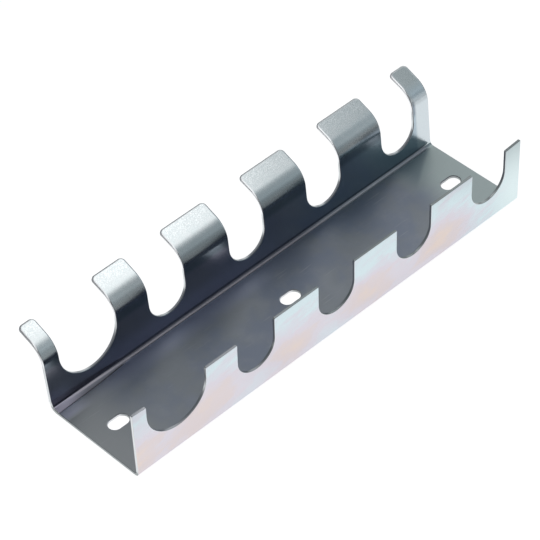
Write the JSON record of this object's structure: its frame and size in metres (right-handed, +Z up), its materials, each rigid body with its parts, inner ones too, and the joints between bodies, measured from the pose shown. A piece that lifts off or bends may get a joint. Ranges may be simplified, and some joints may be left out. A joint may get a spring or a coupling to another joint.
{
  "type": "screwdriver rack",
  "caption": "Folded sheet-steel screwdriver rack: flat slotted base, low front wall and taller rear wall with matching round-bottomed notches, rear tabs curled outward into hooks.",
  "frame": {"origin": "centre of the middle mounting slot, on the underside of the base", "axes": "+X along the rack towards the end with the narrow notches, +Y from the low front wall to the hooked rear wall, +Z up from the underside"},
  "size_m": [0.25, 0.078, 0.0429],
  "materials": {
    "zinc_steel": "bright zinc plate on cold-rolled sheet, smooth and half glossy, with a faint blue, yellow and pink sheen"
  },
  "bodies": {
    "root": {"base_plate": "zinc_steel", "front_fold": "zinc_steel", "rear_fold": "zinc_steel", "front_wall": "zinc_steel", "rear_wall": "zinc_steel", "hook_1_curl": "zinc_steel", "hook_1_tip": "zinc_steel", "hook_2_curl": "zinc_steel", "hook_2_tip": "zinc_steel", "hook_3_curl": "zinc_steel", "hook_3_tip": "zinc_steel", "hook_4_curl": "zinc_steel", "hook_4_tip": "zinc_steel", "hook_5_curl": "zinc_steel", "hook_5_tip": "zinc_steel", "hook_6_curl": "zinc_steel", "hook_6_tip": "zinc_steel"}
  },
  "joints": []
}
